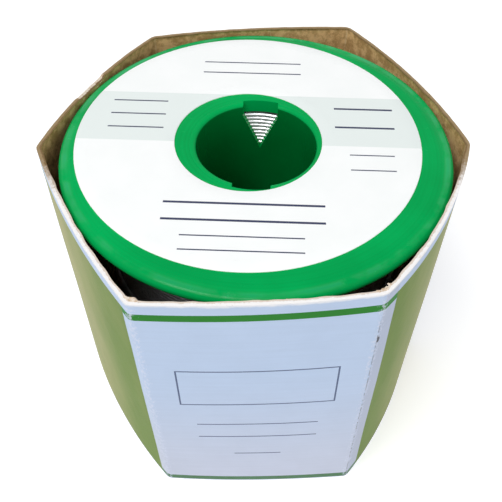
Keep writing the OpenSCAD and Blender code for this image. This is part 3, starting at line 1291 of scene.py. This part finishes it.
    def lump(
        self, bm: bmesh.types.BMesh, seat: Vector, size: float, rng: random.Random
    ) -> None:
        """Adds one small flattened lump of fibre.

        Args:
            bm: The mesh that the lump joins.
            seat: Its middle.
            size: Its length.
            rng: Source of its shape.
        """
        made = bmesh.ops.create_icosphere(bm, subdivisions=2, radius=0.5)["verts"]
        for vertex in made:
            vertex.co *= 1 + 0.5 * noise.noise(vertex.co * 3 + seat / MM)
        bmesh.ops.scale(bm, verts=made, vec=(size, size * 0.6, size * 0.35))
        across = math.atan2(seat.y, seat.x) + math.pi / 2 + rng.uniform(-0.7, 0.7)
        turn = Matrix.Rotation(across, 3, "Z")
        bmesh.ops.rotate(bm, verts=made, cent=(0, 0, 0), matrix=turn)
        bmesh.ops.translate(bm, verts=made, vec=seat)


# -------------------------------------------------------------------------- spool


@dataclass
class Spool(Assembly):
    """The moulded spool with the label on its upper flange."""

    bore_r: float
    body: Body = Body.SPOOL
    steps: int = 180
    rim_step: float = 0.3 * MM
    rim_w: float = 1.9 * MM
    bore_edge_r: float = 0.7 * MM
    seat_gap: float = 0.01 * MM
    keyway_w: float = 6.2 * MM
    window_h: float = 7.7 * MM
    turn: float = math.radians(-6)
    past: float = 1.0 * MM
    label_hole_margin: float = 2.3 * MM
    punch_shift: tuple[float, float, float] = (0.03 * MM, -0.4 * MM, 0.0)

    def build(self) -> None:
        """Makes every moulded piece and the label."""
        plastic = MouldedPlastic().build()
        # painted shade: a darker copy of the green plastic for the bore's inner wall
        bore = MouldedPlastic(name="bore_wall_painted_shade_plastic", colour=screen(0, 122, 54),
                              deep=screen(0, 106, 44)).build()
        for node, up in (("upper_flange", True), ("lower_flange", False)):
            piece = self.flange(node, up, plastic)
            self.settle(piece, Slot.PLASTIC, node)
        self.settle(self.hub(plastic, bore), Slot.PLASTIC, "hub_tube")
        self.settle(self.label(), Slot.LABEL, "face_label")

    def flange(
        self, node: str, up: bool, plastic: bpy.types.Material
    ) -> bpy.types.Object:
        """Revolves a flange with its rolled rim.

        Args:
            node: The solid that the flange stands for.
            up: Whether its outer face looks up.
            plastic: Its finish.

        Returns:
            The flange.
        """
        low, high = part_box(node)
        hub_low, hub_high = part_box("hub_tube")
        rim_r, thick = (high[0] - low[0]) / 2, high[2] - low[2]
        seat_r = (hub_high[0] - hub_low[0]) / 2 + self.seat_gap
        rim_top = thick - self.rim_step
        face_r = rim_r - self.rim_w
        rolled = rim_top / 2 - 0.02 * MM
        corners = (
            (seat_r, 0.0, 0.0),
            (rim_r, 0.0, rolled),
            (rim_r, rim_top, rolled),
            (face_r + 0.3 * MM, rim_top, 0.3 * MM),
            (face_r - 2 * self.rim_step, thick, 0.4 * MM),
            (seat_r, thick, 0.02 * MM),
        )
        bm = section_ring(corners, self.steps)
        if not up:
            bmesh.ops.scale(bm, verts=bm.verts, vec=(1, 1, -1))
            bmesh.ops.recalc_face_normals(bm, faces=bm.faces)
        base = low[2] if up else high[2]
        bmesh.ops.translate(bm, verts=bm.verts, vec=(0, 0, base))
        return finished(node + "_moulding", bm, (plastic,), 38.0)

    def hub(
        self, plastic: bpy.types.Material, bore: bpy.types.Material
    ) -> bpy.types.Object:
        """Revolves the hub tube and cuts its keyways and pointed windows.

        Args:
            plastic: Its finish.
            bore: Finish of the bore's wall, a darker copy of the plastic as painted shade.

        Returns:
            The hub tube.
        """
        low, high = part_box("hub_tube")
        flange_low, flange_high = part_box("upper_flange")
        hub_r, bottom, top = (high[0] - low[0]) / 2, low[2], high[2]
        key_h = flange_high[2] - flange_low[2]
        ease = 0.02 * MM
        corners = ((self.bore_r, bottom, self.bore_edge_r), (hub_r, bottom, ease),
                   (hub_r, top, ease), (self.bore_r, top, self.bore_edge_r))
        ring = section_ring(corners, self.steps, 4)
        half = self.keyway_w / 2

        def window(end: float, way: float) -> bmesh.types.BMesh:
            """Makes the cutter of the two windows at one end."""
            outline = (
                (-half, end + way * self.past), (half, end + way * self.past),
                (half, end - way * key_h),
                (0, end - way * (key_h + self.window_h)),
                (-half, end - way * key_h),
            )
            return prism(outline, 2 * (hub_r + self.past))

        bm = cut_away(ring, [window(top, 1), window(bottom, -1)])
        ease_edges(bm, lambda p: abs(p.x) < half + 1e-5, 0.1 * MM)
        turn = Matrix.Rotation(self.turn, 3, "Z")
        bmesh.ops.rotate(bm, verts=bm.verts, cent=(0, 0, 0), matrix=turn)
        # painted shade: faces of the bore's inner wall take the darker copy of the plastic
        wall_r = self.bore_r + 0.1 * MM
        for face in bm.faces:
            if all(v.co.xy.length < wall_r for v in face.verts):
                face.material_index = 1
        return finished("hub_moulding", bm, (plastic, bore), 38.0)

    def label(self) -> bpy.types.Object:
        """Makes the round label, which sits a little off the spool's centre."""
        low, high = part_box("face_label")
        centre = Vector(((low[0] + high[0]) / 2, (low[1] + high[1]) / 2, low[2]))
        radius, thick = (high[0] - low[0]) / 2, high[2] - low[2]
        hole_r = self.bore_r + self.label_hole_margin
        ease = 0.04 * MM
        corners = ((hole_r, 0, 0.0), (radius, 0, 0.0),
                   (radius, thick, ease), (hole_r, thick, ease))
        bm = section_ring(corners, self.steps, 2)
        for vertex in bm.verts:
            inner = (radius - vertex.co.xy.length) / (radius - hole_r)
            vertex.co += Vector(self.punch_shift) * inner
        bmesh.ops.translate(bm, verts=bm.verts, vec=centre)
        paper = LabelPaper(tuple(centre), radius, hole_r).build()
        return finished("round_label", bm, (paper,), 50.0)


# ------------------------------------------------------------------------- solder


@dataclass
class Winding(Assembly):
    """The solder wire, level wound in helical layers."""

    wire_d: float = 0.8 * MM
    body: Body = Body.SPOOL
    sides: int = 10
    wobble: float = 0.02 * MM

    def build(self) -> None:
        """Makes the wound layers that can be seen and finishes the hidden ones."""
        bright = SolderWire().build()
        # painted shade: the outer turns, free end and hidden layers get a darker, duller copy
        # of the solder, so the gaps under the flange stay dark
        handled = SolderWire(name="painted_shade_tin_alloy_wire", bright=screen(158, 160, 166),
                             dull=screen(138, 141, 148), metallic=0.5,
                             roughness=0.45).build()
        for node, steps, solder in (("first_wire_layer", 72, bright),
                                    ("outer_wire_layer", 96, handled),
                                    ("last_wire_turns", 96, handled)):
            self.settle(self.layer(node, steps, solder), Slot.SOLDER, node)
        self.settle(self.free_end(handled), Slot.SOLDER, "free_wire_end")
        self.dress("packed_wire_layers", handled)

    def layer(
        self, node: str, steps: int, solder: bpy.types.Material
    ) -> bpy.types.Object:
        """Winds one layer as a single helix over the width of its solid.

        Args:
            node: The solid that the layer stands for.
            steps: Steps in each turn.
            solder: Its finish.

        Returns:
            The layer.
        """
        low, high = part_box(node)
        wire_r = self.wire_d / 2
        width = high[2] - low[2] - self.wire_d
        turns = round(width / self.wire_d)
        pitch = width / turns
        reach = (high[0] - low[0]) / 2 - wire_r
        bm = self.one_turn(reach, low[2] + wire_r, pitch, steps)
        first = bm.verts[:] + bm.edges[:] + bm.faces[:]
        for lap in range(1, turns):
            made = bmesh.ops.duplicate(bm, geom=first)["geom"]
            verts = [g for g in made if isinstance(g, bmesh.types.BMVert)]
            bmesh.ops.translate(bm, verts=verts, vec=(0, 0, lap * pitch))
        bmesh.ops.remove_doubles(bm, verts=bm.verts, dist=0.02 * MM)
        for vertex in bm.verts:
            out = Vector((vertex.co.x, vertex.co.y, 0)).normalized()
            vertex.co += out * self.wobble * (noise.noise(vertex.co * 300) - 0.4)
        bmesh.ops.holes_fill(bm, edges=[e for e in bm.edges if e.is_boundary], sides=0)
        bmesh.ops.recalc_face_normals(bm, faces=bm.faces)
        return finished(node + "_wound", bm, (solder,), 60.0)

    def one_turn(
        self, reach: float, height: float, pitch: float, steps: int
    ) -> bmesh.types.BMesh:
        """Winds one turn of wire as an open tube.

        Args:
            reach: Radius of the wire's middle about the spool's axis.
            height: Height at which the turn starts.
            pitch: Rise of the turn.
            steps: Steps in the turn.

        Returns:
            The turn.
        """
        bm = bmesh.new()
        ring = bmesh.ops.create_circle(bm, segments=self.sides, radius=self.wire_d / 2)
        upright = Matrix.Rotation(math.pi / 2, 3, "X")
        bmesh.ops.rotate(bm, verts=ring["verts"], cent=(0, 0, 0), matrix=upright)
        bmesh.ops.translate(bm, verts=ring["verts"], vec=(reach, 0, height))
        bmesh.ops.spin(
            bm, geom=bm.verts[:] + bm.edges[:], cent=(0, 0, 0), axis=(0, 0, 1),
            dvec=(0, 0, pitch / steps), angle=FULL_TURN, steps=steps,
            use_merge=False, use_duplicate=False,
        )
        return bm

    def free_end(self, solder: bpy.types.Material) -> bpy.types.Object:
        """Lays the wire's free end in the valley beside the last turn.

        Args:
            solder: Its finish.

        Returns:
            The free end.
        """
        low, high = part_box("free_wire_end")
        wire_r = self.wire_d / 2
        centre_r = high[0] - wire_r
        bm = bmesh.new()
        ring = bmesh.ops.create_circle(
            bm, segments=self.sides + 2, radius=wire_r, cap_ends=False)["verts"]
        upright = Matrix.Rotation(math.pi / 2, 3, "X")
        bmesh.ops.rotate(bm, verts=ring, cent=(0, 0, 0), matrix=upright)
        bmesh.ops.translate(bm, verts=ring, vec=(centre_r, 0, (low[2] + high[2]) / 2))
        bmesh.ops.spin(
            bm, geom=bm.verts[:] + bm.edges[:], cent=(0, 0, 0), axis=(0, 0, 1),
            angle=math.radians(285), steps=110, use_merge=False, use_duplicate=False,
        )
        bmesh.ops.holes_fill(bm, edges=[e for e in bm.edges if e.is_boundary], sides=0)
        bmesh.ops.recalc_face_normals(bm, faces=bm.faces)
        return finished("free_end_wound", bm, (solder,), 60.0)


# ------------------------------------------------------------------------- studio


@dataclass
class Studio:
    """Floor, lamps, world and camera."""

    eye: tuple[float, float, float] = (-3.34 * MM, -90.75 * MM, 138.4 * MM)
    down: float = math.radians(49.67)
    pan: float = math.radians(0.44 + 1.22)
    roll: float = math.radians(0.52)
    lens: float = 50.6
    sensor: float = 36.0
    floor_size: float = 6.0
    sky_light: float = 0.44

    def build(self) -> None:
        """Sets up everything that isn't the object."""
        self.floor()
        self.world()
        self.lamp("key_light", (-0.26, -0.32, 0.82), 0.5, 4.75)
        self.lamp("fill_light", (0.6, -0.3, 0.45), 0.6, 0.6)
        self.camera()
        view = bpy.context.scene.view_settings
        view.view_transform = "Standard"

    def floor(self) -> None:
        """Lays the white floor."""
        bm = bmesh.new()
        bmesh.ops.create_grid(bm, x_segments=2, y_segments=2, size=self.floor_size / 2)
        floor = finished("studio_floor", bm, (WhiteFloor().build(),))

    def world(self) -> None:
        """Gives the world an even soft light; it is white where it is seen."""
        world = bpy.data.worlds.new("studio_world")
        world.use_nodes = True
        tree = world.node_tree
        sky = tree.nodes["Background"]
        sky.inputs["Color"].default_value = (1, 1, 1, 1)
        paths = tree.nodes.new("ShaderNodeLightPath")
        strength: bpy.types.NodeSocket = paths.outputs["Is Camera Ray"]
        for kind in ("Is Glossy Ray", "Is Transmission Ray"):
            either = tree.nodes.new("ShaderNodeMath")
            either.operation = "MAXIMUM"
            tree.links.new(strength, either.inputs[0])
            tree.links.new(paths.outputs[kind], either.inputs[1])
            strength = either.outputs[0]
        seen = tree.nodes.new("ShaderNodeMapRange")
        seen.inputs["To Min"].default_value = self.sky_light
        tree.links.new(strength, seen.inputs["Value"])
        tree.links.new(seen.outputs["Result"], sky.inputs["Strength"])
        bpy.context.scene.world = world

    def lamp(
        self, name: str, place: Sequence[float], size: float, power: float
    ) -> None:
        """Hangs a square soft lamp that faces the object.

        Args:
            name: Its name.
            place: Where it hangs, in metres.
            size: Length of its side.
            power: Its power in watts.
        """
        data = bpy.data.lights.new(name, "AREA")
        data.shape = "SQUARE"
        data.size = size
        data.energy = power
        lamp = bpy.data.objects.new(name, data)
        lamp.location = place
        aim = Vector((0, 0, 0.03)) - Vector(place)
        lamp.rotation_euler = aim.to_track_quat("-Z", "Y").to_euler()
        bpy.context.scene.collection.objects.link(lamp)

    def camera(self) -> None:
        """Sets the camera above and in front of the carton."""
        ahead = Vector((
            math.sin(self.pan) * math.cos(self.down),
            math.cos(self.pan) * math.cos(self.down),
            -math.sin(self.down),
        ))
        right = ahead.cross(Vector((0, 0, 1))).normalized()
        above = right.cross(ahead)
        across = right * math.cos(self.roll) + above * math.sin(self.roll)
        upward = above * math.cos(self.roll) - right * math.sin(self.roll)
        data = bpy.data.cameras.new("camera")
        data.lens, data.sensor_width = self.lens, self.sensor
        data.clip_start = 0.005
        camera = bpy.data.objects.new("camera", data)
        turn = Matrix((across, upward, -ahead)).transposed()
        camera.matrix_world = Matrix.Translation(self.eye) @ turn.to_4x4()
        bpy.context.scene.collection.objects.link(camera)
        bpy.context.scene.camera = camera


def spindle_bore_radius() -> float:
    """Gives the radius of the spindle bore from the record's mounts."""
    mounts = {mount["name"]: mount for mount in frame["record"]["mounts"]}
    return mounts["spindle_bore"]["dims"]["r_mm"] * MM


def main() -> None:
    """Builds the studio and the object, piece by piece."""
    logging.basicConfig(level=logging.INFO, format="%(message)s")
    Studio().build()
    Carton(CartonPlan.from_frame()).build()
    Spool(spindle_bore_radius()).build()
    Winding().build()


if __name__ == "__main__":
    main()
